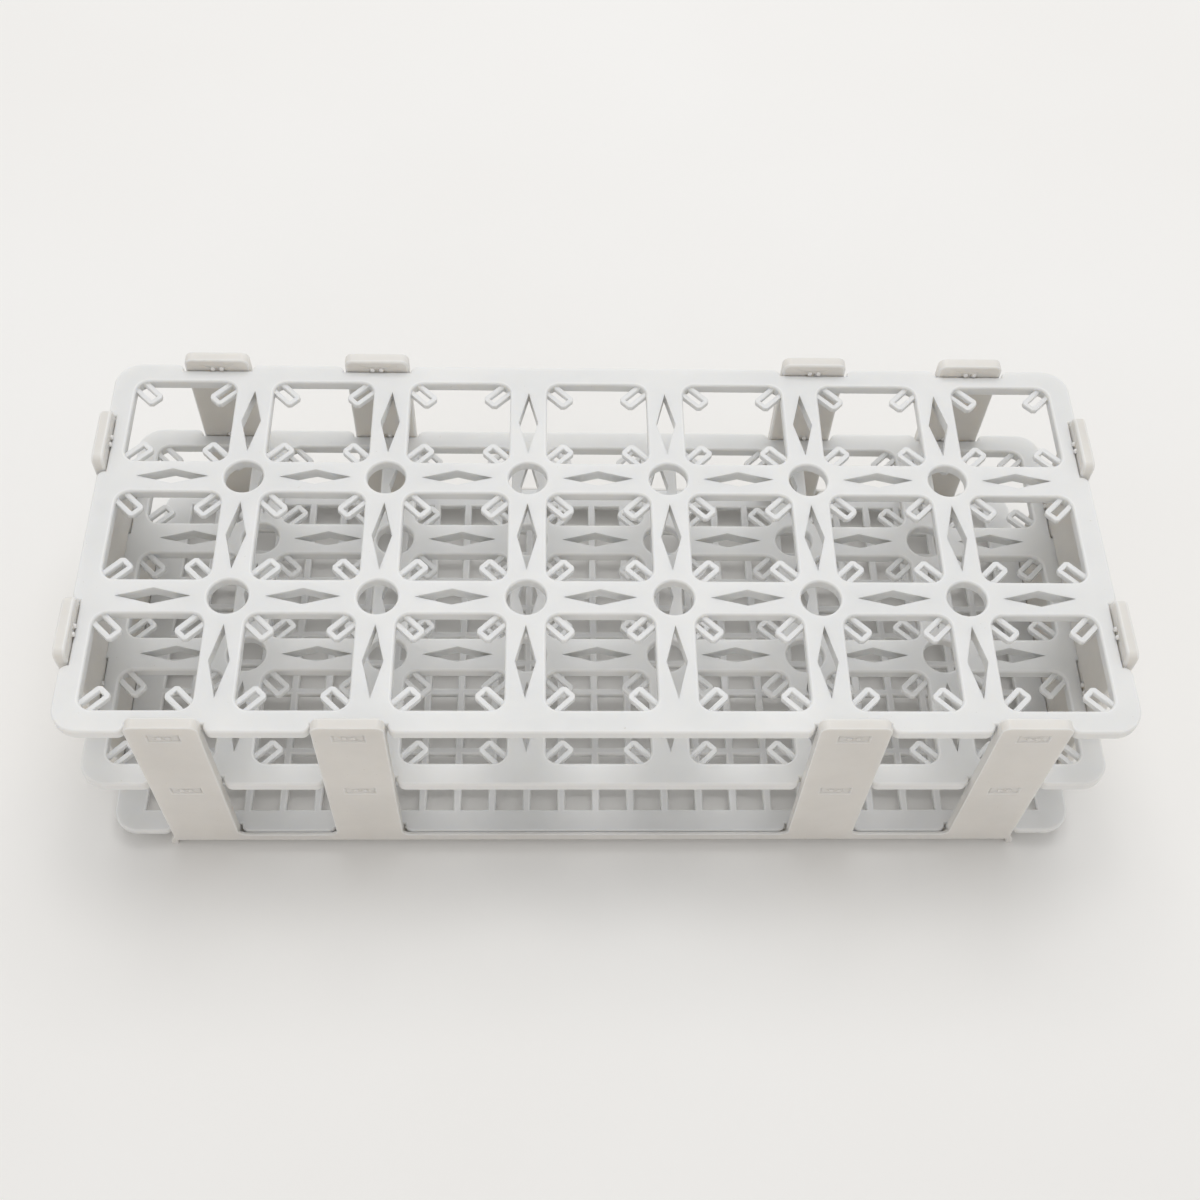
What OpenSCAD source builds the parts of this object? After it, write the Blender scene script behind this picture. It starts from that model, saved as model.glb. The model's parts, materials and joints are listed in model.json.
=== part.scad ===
// Knock-down test tube rack moulded in white polypropylene.
// Two gripping shelves and a base grid are held between two long side
// panels and two end panels, which clip on from outside.
// Frame: X along the rack, Y across it, Z up, feet on Z = 0.

/* [Tube places] */
// Number of wells along the rack
cols = 7; // [5:1:9]
// Number of wells across the rack
rows = 3; // [3:1:4]
// Distance between well centres
pitch = 34.5; // [33:0.5:36]
// Side of each square well
well_w = 25.2; // [24:0.1:25.5]
// Corner radius of each well
well_r = 3.2; // [2.5:0.1:4]

/* [Heights] */
// Height of the rack over its panel tabs
rack_h = 62; // [60:1:90]
// How far the panel tabs stand above the top shelf
tab_rise = 3.5; // [2.5:0.1:4.5]
// Distance from one shelf top to the next
shelf_gap = 26.4; // [25.5:0.1:26.6]
// How far the panels clear the table between the feet
foot_h = 2.2; // [1.5:0.1:2.6]

/* [Shelves] */
// Thickness of the two gripping shelves
shelf_t = 3.2; // [2.6:0.1:3.6]
// Thickness of the base grid
base_t = 2; // [1.6:0.1:2.1]
// Plain margin of a shelf outside its whole number of pitches
shelf_margin = 1; // [0.6:0.1:1.6]
// Outer corner radius of the shelves
shelf_r = 6.5; // [4:0.5:8]
// Diameter of the round hole where two webs cross
web_hole_d = 9.4; // [7:0.1:9.8]
// Length of the diamond slots that point across the rack
cross_slot_l = 19; // [12:0.5:20]
// Width of the diamond slots that point across the rack
cross_slot_w = 4.8; // [3:0.1:5]
// Length of the diamond slots that point along the rack
along_slot_l = 17; // [12:0.5:20]
// Width of the diamond slots that point along the rack
along_slot_w = 4.4; // [3:0.1:5]

/* [Spring fingers] */
// Reach of a finger from the well's sharp corner
finger_reach = 7.9; // [6:0.1:9]
// Width of a finger over its two bars
finger_w = 4.2; // [3.6:0.1:4.8]
// Width of the slot between the two bars
finger_slot = 1.6; // [1.2:0.1:2]
// Thickness of a finger
finger_t = 1.5; // [1:0.1:1.8]
// Depth of a finger's top face below the shelf's top face
finger_drop = 1; // [0.5:0.1:1]

/* [Base grid] */
// Distance between the bars of the base grid
grid_pitch = 8.7; // [8:0.1:8.8]
// Width of each bar of the base grid
grid_bar = 2; // [1.5:0.1:3]

/* [Panels] */
// Thickness of every panel
panel_t = 2.9; // [2.6:0.1:3.2]
// How far a panel's outer face stands outside the shelf edge
panel_proud = 1; // [0.9:0.05:1.1]
// Width of each upright
upright_w = 16.2; // [14:0.1:16.4]
// Distance of the inner uprights from the middle of a long panel
upright_x1 = 56; // [54:0.5:58]
// Distance of the outer uprights from the middle of a long panel
upright_x2 = 96.4; // [94:0.2:98]
// Distance of the end panel's tabs from its middle
tab_y = 27.2; // [26:0.1:28]
// Radius of the tab corners
tab_r = 2; // [1:0.5:3]

/* [Hidden] */
$fn = 48;
eps = 0.01;

// Running gap between a panel and the shelves it clips on
gap = 0.1;
// Extra notch width beside each upright
notch_play = 0.8;
notch_w = upright_w + notch_play;
notch_d = panel_t + gap - panel_proud;

shelf_l = cols * pitch + 2 * shelf_margin;
shelf_b = rows * pitch + 2 * shelf_margin;
base_l = shelf_l - 2 * notch_d;

// Heights of the three top faces
top_z = rack_h - tab_rise;
middle_z = top_z - shelf_gap;
base_z = middle_z - shelf_gap;

// Whole number of grid squares along and across the base
grid_border = 4.5;
grid_cols = 2 * floor((base_l / 2 - grid_border) / grid_pitch);
grid_rows = 2 * floor((shelf_b / 2 - grid_border) / grid_pitch - 0.5) + 1;

// Closed end of a spring finger and the chamfer on its corners
finger_end = 1.3;
finger_chamfer = 0.7;

// Planes of the panels
long_inner = shelf_b / 2 + panel_proud - panel_t;
end_inner = shelf_l / 2 + panel_proud - panel_t;
upright_xs = [-upright_x2, -upright_x1, upright_x1, upright_x2];
tab_ys = [-tab_y, tab_y];

// Clip features: a ledge under each shelf and two nubs over it
ledge_w = 9;
ledge_d = 1.4;
ledge_t = 1.3;
nub_r = 0.6;
nub_d = 0.7;
nub_space = 2.2;

// Moulded mark behind each clip
mark_w = 6.6;
mark_h = 2.6;
mark_d = 0.22;
// Height of a mark over its shelf's underside
mark_rise = 0.4;
pip_r = 0.6;
pip_space = 2;

// Rail under and in front of the base grid
rail_z = foot_h;
rail_drop = 0.3;
rail_top = base_z - rail_drop;
rail_ledge_top = base_z - base_t - gap;
rail_fillet = 2;
rail_ledge_d = 1.5;

// Small feet at the ends of the long panels: how far each reaches out
// past the panel's end, back under it and up its side
foot_out = 1.2;
foot_in = 0.4;
foot_root = 0.6;
foot_step = 0.4;
foot_top = foot_h + 2.2;

module rounded_rect(w, h, r) {
    square([w - 2 * r, h], center = true);
    square([w, h - 2 * r], center = true);
    for (sx = [-1, 1], sy = [-1, 1])
        translate([sx * (w / 2 - r), sy * (h / 2 - r)])
            circle(r);
}

// A notch in an edge that lies on the X axis, cut towards -Y,
// with convex shoulders of the notch's own depth
module edge_notch() {
    translate([-notch_w / 2, -notch_d])
        square([notch_w, 2 * notch_d]);
    for (s = [-1, 1])
        difference() {
            translate([s * (notch_w + notch_d) / 2, 0])
                square([notch_d + 2 * eps, 2 * notch_d], center = true);
            translate([s * (notch_w / 2 + notch_d), -notch_d])
                circle(notch_d);
        }
}

module long_edge_notches() {
    for (side = [0, 180], x = upright_xs)
        rotate(side)
            translate([x, shelf_b / 2])
                edge_notch();
}

module end_edge_notches() {
    for (side = [-90, 90], y = tab_ys)
        rotate(side)
            translate([y, shelf_l / 2])
                edge_notch();
}

module diamond(l, w) {
    polygon([[-l / 2, 0], [0, -w / 2], [l / 2, 0], [0, w / 2]]);
}

function centred(i, n) = (i - (n - 1) / 2) * pitch;

module wells() {
    for (i = [0:cols - 1], j = [0:rows - 1])
        translate([centred(i, cols), centred(j, rows)])
            rounded_rect(well_w, well_w, well_r);
}

// Round holes where webs cross and a diamond along each stretch of web
module web_openings() {
    for (i = [0:cols - 2], j = [0:rows - 2])
        translate([centred(i + 0.5, cols), centred(j + 0.5, rows)])
            circle(d = web_hole_d);
    for (i = [0:cols - 2], j = [0:rows - 1])
        translate([centred(i + 0.5, cols), centred(j, rows)])
            rotate(90)
                diamond(cross_slot_l, cross_slot_w);
    for (i = [0:cols - 1], j = [0:rows - 2])
        translate([centred(i, cols), centred(j + 0.5, rows)])
            diamond(along_slot_l, along_slot_w);
}

// U-shaped finger from the well's sharp corner at the origin along +X
module finger_outline() {
    root = -0.4;
    half = finger_w / 2;
    slot = finger_slot / 2;
    slot_end = finger_reach - finger_end;
    polygon([
        [root, -half],
        [finger_reach - finger_chamfer, -half],
        [finger_reach, -half + finger_chamfer],
        [finger_reach, half - finger_chamfer],
        [finger_reach - finger_chamfer, half],
        [root, half],
        [root, slot],
        [slot_end, slot],
        [slot_end, -slot],
        [root, -slot],
    ]);
}

module spring_fingers() {
    for (i = [0:cols - 1], j = [0:rows - 1], turn = [0:90:270])
        translate([centred(i, cols), centred(j, rows)])
            rotate(turn)
                translate([-well_w / 2, -well_w / 2])
                    rotate(45)
                        finger_outline();
}

// A gripping shelf with its top face at Z = 0
module gripping_shelf() {
    translate([0, 0, -shelf_t])
        linear_extrude(shelf_t)
            difference() {
                rounded_rect(shelf_l, shelf_b, shelf_r);
                long_edge_notches();
                end_edge_notches();
                wells();
                web_openings();
            }
    translate([0, 0, -finger_drop - finger_t])
        linear_extrude(finger_t)
            spring_fingers();
}

module top_shelf() {
    color("whitesmoke")
        translate([0, 0, top_z])
            gripping_shelf();
}

module middle_shelf() {
    color("whitesmoke")
        translate([0, 0, middle_z])
            gripping_shelf();
}

module grid_holes() {
    hole = grid_pitch - grid_bar;
    for (i = [0:grid_cols - 1], j = [0:grid_rows - 1])
        translate([(i - (grid_cols - 1) / 2) * grid_pitch,
                   (j - (grid_rows - 1) / 2) * grid_pitch])
            square(hole, center = true);
}

module base_grid() {
    color("gainsboro")
        translate([0, 0, base_z - base_t])
            linear_extrude(base_t)
                difference() {
                    rounded_rect(base_l, shelf_b, shelf_r);
                    long_edge_notches();
                    grid_holes();
                }
}

// Clip features of one upright around one shelf.  The panel's inner face
// is Y = 0 with the shelf towards -Y, and Z = 0 is the shelf's top face.
module clip() {
    translate([-ledge_w / 2, -ledge_d, -shelf_t - gap - ledge_t])
        cube([ledge_w, ledge_d + eps, ledge_t]);
    for (s = [-1, 1])
        translate([s * nub_space / 2, eps, gap + nub_r])
            rotate([90, 0, 0])
                cylinder(r = nub_r, h = nub_d + eps);
}

// Shallow mark on the outer face behind a clip, with two pips left in it
module clip_mark() {
    difference() {
        translate([-mark_w / 2, panel_t - mark_d, mark_rise - shelf_t])
            cube([mark_w, mark_d + eps, mark_h]);
        for (s = [-1, 1])
            translate([s * pip_space / 2, panel_t + 2 * eps, mark_rise - shelf_t + mark_h / 2])
                rotate([90, 0, 0])
                    cylinder(r = pip_r, h = mark_d + 3 * eps);
    }
}

// Outline of one upright seen from outside, with its foot end at rail_z
module upright_outline() {
    h = rack_h - rail_z;
    translate([-upright_w / 2, rail_z])
        square([upright_w, h - tab_r]);
    translate([-upright_w / 2 + tab_r, rail_z])
        square([upright_w - 2 * tab_r, h]);
    for (s = [-1, 1])
        translate([s * (upright_w / 2 - tab_r), rack_h - tab_r])
            circle(tab_r);
}

// Concave fillet that fills the corner above the rail beside an upright
module rail_fillet_outline(s) {
    difference() {
        translate([s * (upright_w + rail_fillet) / 2, rail_top + rail_fillet / 2])
            square([rail_fillet + 2 * eps, rail_fillet + 2 * eps], center = true);
        translate([s * (upright_w / 2 + rail_fillet), rail_top + rail_fillet])
            circle(rail_fillet);
    }
}

// A long panel standing on Y >= 0, its inner face on Y = 0
module long_panel() {
    reach = upright_x2 + upright_w / 2;
    lip_y = panel_t - panel_proud + gap;
    difference() {
        union() {
            for (x = upright_xs)
                translate([x, panel_t, 0])
                    rotate([90, 0, 0])
                        linear_extrude(panel_t)
                            upright_outline();
            for (x = upright_xs, s = [-1, 1])
                if (x * s < upright_x2)
                    translate([x, panel_t, 0])
                        rotate([90, 0, 0])
                            linear_extrude(panel_proud - gap)
                                rail_fillet_outline(s);
            translate([-reach, 0, rail_z])
                cube([2 * reach, panel_t, rail_ledge_top - rail_z]);
            translate([-reach, lip_y, rail_z])
                cube([2 * reach, panel_t - lip_y, rail_top - rail_z]);
            for (x = upright_xs)
                translate([x - upright_w / 2, -rail_ledge_d, rail_z])
                    cube([upright_w, rail_ledge_d + eps, rail_ledge_top - rail_z]);
            for (s = [-1, 1])
                long_panel_foot(s * reach, s);
            for (x = upright_xs, z = [top_z, middle_z])
                translate([x, 0, z])
                    clip();
        }
        for (x = upright_xs, z = [top_z, middle_z])
            translate([x, 0, z])
                clip_mark();
    }
}

// Small foot on the bottom corner of an outer upright
module long_panel_foot(x, s) {
    translate([x, panel_t, 0])
        rotate([90, 0, 0])
            linear_extrude(panel_t)
                polygon([
                    [-s * foot_root, foot_top],
                    [0, foot_top],
                    [s * foot_out, foot_h],
                    [s * foot_out, 0],
                    [-s * foot_in, 0],
                    [-s * foot_root, foot_h + foot_step],
                ]);
}

// An end panel standing on Y >= 0, its inner face on Y = 0.  The wall
// between its tabs stops under the top shelf and has a slot for the
// middle shelf's edge.
module end_panel() {
    reach = tab_y + upright_w / 2;
    wall_top = top_z - shelf_t - gap;
    slot_reach = tab_y - notch_w / 2 + gap;
    difference() {
        union() {
            for (x = tab_ys)
                translate([x, panel_t, 0])
                    rotate([90, 0, 0])
                        linear_extrude(panel_t)
                            upright_outline();
            translate([-reach, 0, rail_z])
                cube([2 * reach, panel_t, wall_top - rail_z]);
            translate([-reach, -rail_ledge_d, rail_z])
                cube([2 * reach, rail_ledge_d + eps, rail_ledge_top - rail_z]);
            for (x = tab_ys, z = [top_z, middle_z])
                translate([x, 0, z])
                    clip();
        }
        translate([-slot_reach, -eps, middle_z - shelf_t - gap])
            cube([2 * slot_reach, panel_t + 2 * eps, shelf_t + 2 * gap]);
        for (x = tab_ys, z = [top_z, middle_z])
            translate([x, 0, z])
                clip_mark();
    }
}

module front_panel() {
    color("linen")
        rotate(180)
            translate([0, long_inner, 0])
                long_panel();
}

module back_panel() {
    color("linen")
        translate([0, long_inner, 0])
            long_panel();
}

module left_end_panel() {
    color("linen")
        rotate(90)
            translate([0, end_inner, 0])
                end_panel();
}

module right_end_panel() {
    color("linen")
        rotate(-90)
            translate([0, end_inner, 0])
                end_panel();
}

top_shelf();
middle_shelf();
base_grid();
front_panel();
back_panel();
left_end_panel();
right_end_panel();
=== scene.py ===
import json
import math

import bmesh
import bpy
from mathutils import Matrix, Vector
from mathutils.bvhtree import BVHTree


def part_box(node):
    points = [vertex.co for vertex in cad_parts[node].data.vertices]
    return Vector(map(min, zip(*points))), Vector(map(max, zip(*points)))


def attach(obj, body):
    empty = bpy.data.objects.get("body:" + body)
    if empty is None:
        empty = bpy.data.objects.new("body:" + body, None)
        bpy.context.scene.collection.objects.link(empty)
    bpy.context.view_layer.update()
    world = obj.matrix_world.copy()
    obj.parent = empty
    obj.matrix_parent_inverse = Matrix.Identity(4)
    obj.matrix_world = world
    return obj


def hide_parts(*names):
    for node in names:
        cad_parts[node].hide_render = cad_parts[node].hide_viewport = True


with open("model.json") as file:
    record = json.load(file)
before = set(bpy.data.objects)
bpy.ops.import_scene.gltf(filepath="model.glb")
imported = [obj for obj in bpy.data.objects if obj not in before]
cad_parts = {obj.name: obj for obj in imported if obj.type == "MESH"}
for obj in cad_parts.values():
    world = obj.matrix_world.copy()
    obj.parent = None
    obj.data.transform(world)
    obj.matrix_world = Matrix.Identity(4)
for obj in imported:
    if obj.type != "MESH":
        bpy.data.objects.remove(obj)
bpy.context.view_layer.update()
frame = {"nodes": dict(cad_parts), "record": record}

MM = 0.001

# ---------------------------------------------------------------------------
# Mouldings: each CAD node becomes a piece with the softened edges of a real one
# ---------------------------------------------------------------------------

BODIES = frame["record"]["behaviour"]["bodies"]
BODY_OF = {node: body for body, nodes in BODIES.items() for node in nodes}
SLOT_OF = {node: solid.data.materials[0].name for node, solid in frame["nodes"].items()}

EDGE_RADIUS = 0.6 * MM      # the softest edge of a moulding
EDGE_SHARE = 0.27           # of the width beside an edge that its rounding may take
SKIN = 0.1 * MM             # how far under a face that width is measured
SHARP = math.radians(32)    # a steeper fold than this is an edge, a shallower one part of a curve
SMOOTH_TURN = math.radians(30)  # two edges that turn less than this where they meet run on as one
POINTED = math.radians(110)     # the turn of an opening's walls at a pointed end
POINTED_RADIUS = 0.15 * MM      # the most that an edge at a pointed end is rounded
ROUND_SEGMENTS = 3
EDGE_SLOT = 1                   # the material slot that marks the faces of a rounding
WELD = 0.004 * MM               # corners closer than this are one corner
FLAT = math.radians(1)          # faces that meet at less than this lie in one plane
FOLDED = math.radians(178)      # faces that meet at more than this lie on top of each other
LONG_FOLD = 0.85 * MM           # shorter folds are left as they are
UNFOLD_PASSES = 3


def cleaned(mesh):
    """A bmesh of the node with its corners joined and its flat faces cut into even triangles."""
    bm = bmesh.new()
    bm.from_mesh(mesh)
    bmesh.ops.remove_doubles(bm, verts=bm.verts, dist=WELD)
    flat = [edge for edge in bm.edges if edge.calc_face_angle(0.0) < FLAT]
    bmesh.ops.beautify_fill(bm, faces=bm.faces, edges=flat, method="ANGLE")
    bm.faces.index_update()
    return bm


def room_beside(edge, tree):
    """How far the solid goes on beside an edge, just under its two faces: the shorter distance."""
    middle = (edge.verts[0].co + edge.verts[1].co) / 2
    along = (edge.verts[1].co - edge.verts[0].co).normalized()
    room = EDGE_RADIUS / EDGE_SHARE
    for face in edge.link_faces:
        inward = face.normal.cross(along)
        if inward.dot(face.calc_center_median() - middle) < 0:
            inward.negate()
        hit = tree.ray_cast(middle + SKIN * (inward - face.normal), inward, room)
        if hit[3] is not None:
            room = min(room, hit[3] + SKIN)
    return room


def even_out(radii):
    """Gives edges that run on smoothly into each other the smallest radius among them."""
    seen = set()
    for first in radii:
        if first in seen:
            continue
        seen.add(first)
        chain, queue = [], [first]
        while queue:
            edge = queue.pop()
            chain.append(edge)
            for corner in edge.verts:
                along = edge.other_vert(corner).co - corner.co
                for other in corner.link_edges:
                    if other in radii and other not in seen:
                        if along.angle(corner.co - other.other_vert(corner).co, math.pi) < SMOOTH_TURN:
                            seen.add(other)
                            queue.append(other)
        least = min(radii[edge] for edge in chain)
        for edge in chain:
            radii[edge] = least


def rounded(bm):
    """The mesh with its outer edges rounded, less where the solid is narrow or an opening is pointed."""
    weight = bm.edges.layers.float.new("bevel_weight_edge")
    tree = BVHTree.FromBMesh(bm)
    pointed = {
        corner for edge in bm.edges if not edge.is_convex and edge.calc_face_angle(0.0) > POINTED
        for corner in edge.verts
    }
    radii = {}
    for edge in bm.edges:
        if edge.is_convex and edge.calc_face_angle(0.0) > SHARP:
            radii[edge] = EDGE_SHARE * room_beside(edge, tree)
            if pointed.intersection(edge.verts):
                radii[edge] = min(radii[edge], POINTED_RADIUS)
    even_out(radii)
    for edge, radius in radii.items():
        edge[weight] = radius / EDGE_RADIUS
    mesh = bpy.data.meshes.new("sharp")
    bm.to_mesh(mesh)
    for _ in range(EDGE_SLOT + 1):
        mesh.materials.append(None)
    sharp = bpy.data.objects.new("sharp", mesh)
    bpy.context.scene.collection.objects.link(sharp)
    rounding = sharp.modifiers.new("rounded edges", "BEVEL")
    rounding.limit_method = "WEIGHT"
    rounding.width = EDGE_RADIUS
    rounding.segments = ROUND_SEGMENTS
    rounding.use_clamp_overlap = False
    rounding.loop_slide = False
    rounding.material = EDGE_SLOT
    depsgraph = bpy.context.evaluated_depsgraph_get()
    done = bpy.data.meshes.new_from_object(sharp.evaluated_get(depsgraph))
    bpy.data.objects.remove(sharp)
    return done


def unfold(bm):
    """Cuts a flat stretch afresh where a rounding moved a corner so far that it folded a triangle over."""
    bmesh.ops.triangulate(bm, faces=[face for face in bm.faces if len(face.verts) > 3])
    for _ in range(UNFOLD_PASSES):
        patch = set()
        for edge in bm.edges:
            if edge.calc_face_angle(0.0) > FOLDED and edge.calc_length() > LONG_FOLD:
                plane = edge.link_faces[0].normal
                sides = {side for face in edge.link_faces for side in face.edges}
                near = {face for side in sides for face in side.link_faces}
                patch.update(face for face in near if abs(face.normal.dot(plane)) > math.cos(FLAT))
        # In a fixed order, so that every run gives the same mesh
        ordered = sorted(patch, key=lambda face: tuple(face.calc_center_median()))
        whole = bmesh.ops.dissolve_faces(bm, faces=ordered, use_verts=False)["region"]
        bmesh.ops.triangulate(bm, faces=whole, ngon_method="EAR_CLIP")


def moulding(node):
    """The piece that stands for a CAD node: the same shape with its outer edges rounded.

    Its faces carry the value "edge", which is 1 on a rounding and 0 elsewhere.
    """
    bm = cleaned(frame["nodes"][node].data)
    mesh = rounded(bm)
    bm.clear()
    bm.from_mesh(mesh)
    mesh.materials.clear()
    unfold(bm)
    edge_layer = bm.faces.layers.float.new("edge")
    for face in bm.faces:
        face.smooth = True
        face[edge_layer] = float(face.material_index == EDGE_SLOT)
        face.material_index = 0
    bm.to_mesh(mesh)
    bm.free()
    mesh.name = node + "_moulding"
    piece = bpy.data.objects.new(node + "_moulding", mesh)
    bpy.context.scene.collection.objects.link(piece)
    shading = piece.modifiers.new("flat faces stay flat", "WEIGHTED_NORMAL")
    shading.keep_sharp = False

    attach(piece, BODY_OF[node])
    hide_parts(node)
    return piece


# ---------------------------------------------------------------------------
# Materials
# ---------------------------------------------------------------------------

MIX_INPUTS = (0, 6, 7)      # the colour mix's sockets: factor, first and second
MIX_RESULT = 2


class Nodes:
    """A small helper that adds and links a material's nodes."""

    def __init__(self, name):
        self.material = bpy.data.materials.new(name)
        self.material.use_nodes = True
        self.tree = self.material.node_tree
        self.shader = self.tree.nodes["Principled BSDF"]

    def add(self, kind, **values):
        node = self.tree.nodes.new(kind)
        for name, value in values.items():
            if hasattr(node, name):
                setattr(node, name, value)
            else:
                node.inputs[name.replace("_", " ")].default_value = value
        return node

    def link(self, source, target):
        self.tree.links.new(source, target)

    def noise(self, place, scale, detail=3.0, roughness=0.5):
        node = self.add("ShaderNodeTexNoise", Scale=scale, Detail=detail, Roughness=roughness)
        self.link(place, node.inputs["Vector"])
        return node.outputs["Fac"]

    def ramp(self, source, *stops):
        """stops are (position, colour) pairs, a colour being three numbers or one for grey."""
        node = self.add("ShaderNodeValToRGB")
        elements = node.color_ramp.elements
        while len(elements) < len(stops):
            elements.new(0.5)
        for element, (position, colour) in zip(elements, stops):
            element.position = position
            rgb = (colour,) * 3 if isinstance(colour, (int, float)) else colour
            element.color = (*rgb, 1.0)
        self.link(source, node.inputs["Fac"])
        return node.outputs["Color"]

    def mix(self, factor, first, second, blend="MIX"):
        node = self.add("ShaderNodeMix", data_type="RGBA", blend_type=blend)
        for index, value in zip(MIX_INPUTS, (factor, first, second)):
            if isinstance(value, bpy.types.NodeSocket):
                self.link(value, node.inputs[index])
            else:
                node.inputs[index].default_value = value
        return node.outputs[MIX_RESULT]


# How fine the patterns are, in about cycles per metre
CLOUD_SCALE = 38.0
SPECK_SCALE = 900.0
SCUFF_SCALE = 420.0
SCUFF_STRETCH = (1.0, 6.0, 1.0)     # the scuffs are longer along the rack than across it
GRAIN_SCALE = 2600.0
SINK_SCALE = 90.0

# Where in a pattern one end of its range gives way to the other
CLOUD_STOPS = (0.32, 0.68)
SPECK_STOPS = (0.74, 0.80)
SCUFF_STOPS = (0.35, 0.70)

GRAIN_DEPTH = 0.02 * MM
GRAIN_STRENGTH = 0.35
SINK_DEPTH = 0.25 * MM
SINK_STRENGTH = 0.6

SPECK_TINT = (0.86, 0.84, 0.80)
GLOSSY, DULL = 0.36, 0.56           # the roughness where the surface is smoothest and most scuffed

# Painted highlight: the roundings of the edges are painted a little lighter, and they are also a little
# smoother
EDGE_HIGHLIGHT_COLOUR = (0.90, 0.895, 0.88, 1.0)
EDGE_ROUGHNESS = (0.30, 0.30, 0.30, 1.0)
EDGE_HIGHLIGHT_AND_GLOSS = 0.4

REFRACTION = 1.49
SHINE = 0.45
MILKINESS = 0.6
SCATTER_TINT = (1.0, 0.95, 0.85)
SCATTER_DEPTH = 3.0 * MM


def polypropylene(name, thin, thick):
    """Natural polypropylene: milky and satin, with clouds, faint specks, fine scuffs and shallow sinks,
    and a painted highlight on its rounded edges.

    thin and thick are its lighter and its darker colour, and the clouds run from one to the other.
    """
    n = Nodes(name)
    place = n.add("ShaderNodeTexCoord").outputs["Object"]

    on_edge = n.add("ShaderNodeAttribute", attribute_name="edge").outputs["Fac"]
    # How far each face is mixed towards the painted highlight and the smoother finish: only the roundings
    # are
    painted_highlight_and_gloss = n.ramp(on_edge, (0.0, 0.0), (1.0, EDGE_HIGHLIGHT_AND_GLOSS))

    clouds = n.noise(place, CLOUD_SCALE, detail=4.0, roughness=0.55)
    colour = n.ramp(clouds, (CLOUD_STOPS[0], thick), (CLOUD_STOPS[1], thin))
    speckles = n.noise(place, SPECK_SCALE, detail=2.0, roughness=0.7)
    specks = n.ramp(speckles, (SPECK_STOPS[0], 1.0), (SPECK_STOPS[1], SPECK_TINT))
    speckled = n.mix(1.0, colour, specks, "MULTIPLY")
    # Painted highlight: the colour of the roundings is mixed towards a lighter one
    n.link(n.mix(painted_highlight_and_gloss, speckled, EDGE_HIGHLIGHT_COLOUR), n.shader.inputs["Base Color"])

    stretched = n.add("ShaderNodeMapping")
    stretched.inputs["Scale"].default_value = SCUFF_STRETCH
    n.link(place, stretched.inputs["Vector"])
    scuffs = n.noise(stretched.outputs["Vector"], SCUFF_SCALE, detail=5.0, roughness=0.65)
    scuffed = n.ramp(scuffs, (SCUFF_STOPS[0], GLOSSY), (SCUFF_STOPS[1], DULL))
    n.link(n.mix(painted_highlight_and_gloss, scuffed, EDGE_ROUGHNESS), n.shader.inputs["Roughness"])

    grain = n.add("ShaderNodeBump", Strength=GRAIN_STRENGTH, Distance=GRAIN_DEPTH)
    n.link(n.noise(place, GRAIN_SCALE, detail=2.0), grain.inputs["Height"])
    sinks = n.add("ShaderNodeBump", Strength=SINK_STRENGTH, Distance=SINK_DEPTH)
    n.link(n.noise(place, SINK_SCALE, detail=1.0), sinks.inputs["Height"])
    n.link(grain.outputs["Normal"], sinks.inputs["Normal"])
    n.link(sinks.outputs["Normal"], n.shader.inputs["Normal"])

    n.shader.inputs["IOR"].default_value = REFRACTION
    n.shader.inputs["Specular IOR Level"].default_value = SHINE
    n.shader.inputs["Subsurface Weight"].default_value = MILKINESS
    n.shader.inputs["Subsurface Radius"].default_value = SCATTER_TINT
    n.shader.inputs["Subsurface Scale"].default_value = SCATTER_DEPTH
    return n.material


MATERIALS = {
    "shelf_plastic": polypropylene(
        "shelf_polypropylene", thin=(0.82, 0.82, 0.81), thick=(0.76, 0.765, 0.76)),
    "grid_plastic": polypropylene(
        "grid_polypropylene", thin=(0.79, 0.79, 0.785), thick=(0.73, 0.735, 0.73)),
    # Painted reflection and shade: the panels are the same plastic as the shelves, made warmer and darker
    # to paint in part of the warm, dim light on their front faces; the front fill lamp gives the rest
    "panel_plastic": polypropylene(
        "panel_polypropylene", thin=(0.785, 0.765, 0.73), thick=(0.72, 0.70, 0.665)),
}

for node in frame["nodes"]:
    piece = moulding(node)
    piece.data.materials.append(MATERIALS[SLOT_OF[node]])


# ---------------------------------------------------------------------------
# Camera, floor and light
# ---------------------------------------------------------------------------

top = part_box("top_shelf")[1].z

CAMERA_AIM = Vector((-0.0001, -0.0181, top))
CAMERA_DISTANCE = 0.3612
CAMERA_ELEVATION = math.radians(57.54)
CAMERA_AZIMUTH = math.radians(3.58)     # of the line of sight, from straight back
CAMERA_ROLL = math.radians(3.24)
CAMERA_LENS = 46.56                     # mm, on a sensor as wide as SENSOR_WIDTH
SENSOR_WIDTH = 36.0
CLIP_START = 0.01

FLOOR_HALF = 4.0
FLOOR_SCALE = 6.0
FLOOR_STOPS = (0.3, 0.7)
FLOOR_SHADE = (0.92, 0.905, 0.88)
FLOOR_TINT = (0.94, 0.93, 0.91)
FLOOR_ROUGHNESS = 0.9

LIGHT_TARGET = Vector((0, 0, 0.03))     # about the middle of the rack


def aimed(place, target, roll=0.0):
    """A matrix that stands at place and looks at target along its own -Z."""
    forward = (target - place).normalized()
    level = forward.cross(Vector((0, 0, 1))).normalized()
    upright = level.cross(forward)
    right = level * math.cos(roll) + upright * math.sin(roll)
    up = right.cross(forward)
    axes = Matrix((right, up, -forward)).transposed().to_4x4()
    return Matrix.Translation(place) @ axes


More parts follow.
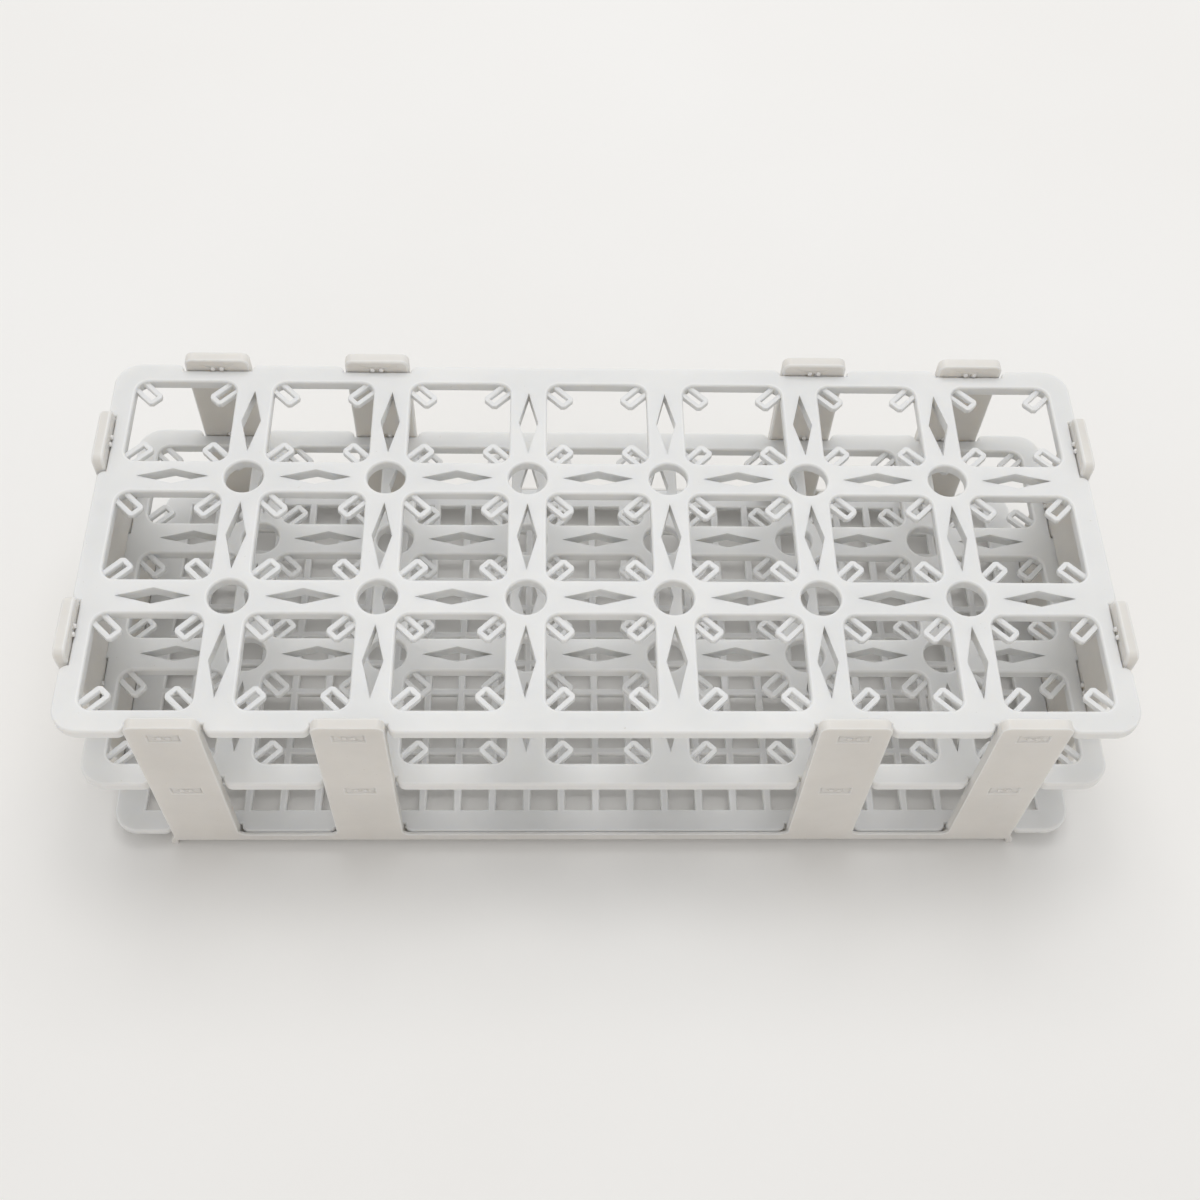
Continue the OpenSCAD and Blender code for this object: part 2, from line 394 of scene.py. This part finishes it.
def camera():
    data = bpy.data.cameras.new("camera")
    data.lens = CAMERA_LENS
    data.sensor_width = SENSOR_WIDTH
    data.clip_start = CLIP_START
    obj = bpy.data.objects.new("camera", data)
    bpy.context.scene.collection.objects.link(obj)
    back = Vector((-math.sin(CAMERA_AZIMUTH), -math.cos(CAMERA_AZIMUTH), 0)) * math.cos(CAMERA_ELEVATION)
    rise = Vector((0, 0, math.sin(CAMERA_ELEVATION)))
    place = CAMERA_AIM + CAMERA_DISTANCE * (back + rise)
    obj.matrix_world = aimed(place, CAMERA_AIM, CAMERA_ROLL)
    bpy.context.scene.camera = obj


def floor():
    mesh = bpy.data.meshes.new("floor")
    bm = bmesh.new()
    bmesh.ops.create_grid(bm, x_segments=1, y_segments=1, size=FLOOR_HALF)
    bm.to_mesh(mesh)
    bm.free()
    obj = bpy.data.objects.new("floor", mesh)
    bpy.context.scene.collection.objects.link(obj)
    n = Nodes("floor")
    place = n.add("ShaderNodeTexCoord").outputs["Object"]
    patches = n.noise(place, FLOOR_SCALE)
    colour = n.ramp(patches, (FLOOR_STOPS[0], FLOOR_SHADE), (FLOOR_STOPS[1], FLOOR_TINT))
    n.link(colour, n.shader.inputs["Base Color"])
    n.shader.inputs["Roughness"].default_value = FLOOR_ROUGHNESS
    mesh.materials.append(n.material)


def soft_light(name, place, size, watts, colour):
    data = bpy.data.lights.new(name, "AREA")
    data.shape = "DISK"
    data.size = size
    data.energy = watts
    data.color = colour
    obj = bpy.data.objects.new(name, data)
    bpy.context.scene.collection.objects.link(obj)
    obj.matrix_world = aimed(Vector(place), LIGHT_TARGET)


def daylight(colour, strength):
    world = bpy.data.worlds.new("daylight")
    world.use_nodes = True
    sky = world.node_tree.nodes["Background"]
    sky.inputs["Color"].default_value = (*colour, 1.0)
    sky.inputs["Strength"].default_value = strength
    bpy.context.scene.world = world


camera()
floor()
daylight(colour=(1.0, 1.0, 1.0), strength=0.58)
soft_light("overhead", place=(0.05, 0.45, 1.30), size=1.1, watts=7.8, colour=(1.0, 1.0, 1.0))
soft_light("front_fill", place=(-0.15, -1.10, 0.12), size=0.8, watts=0.8, colour=(1.0, 0.70, 0.45))
bpy.context.scene.view_settings.view_transform = "Standard"
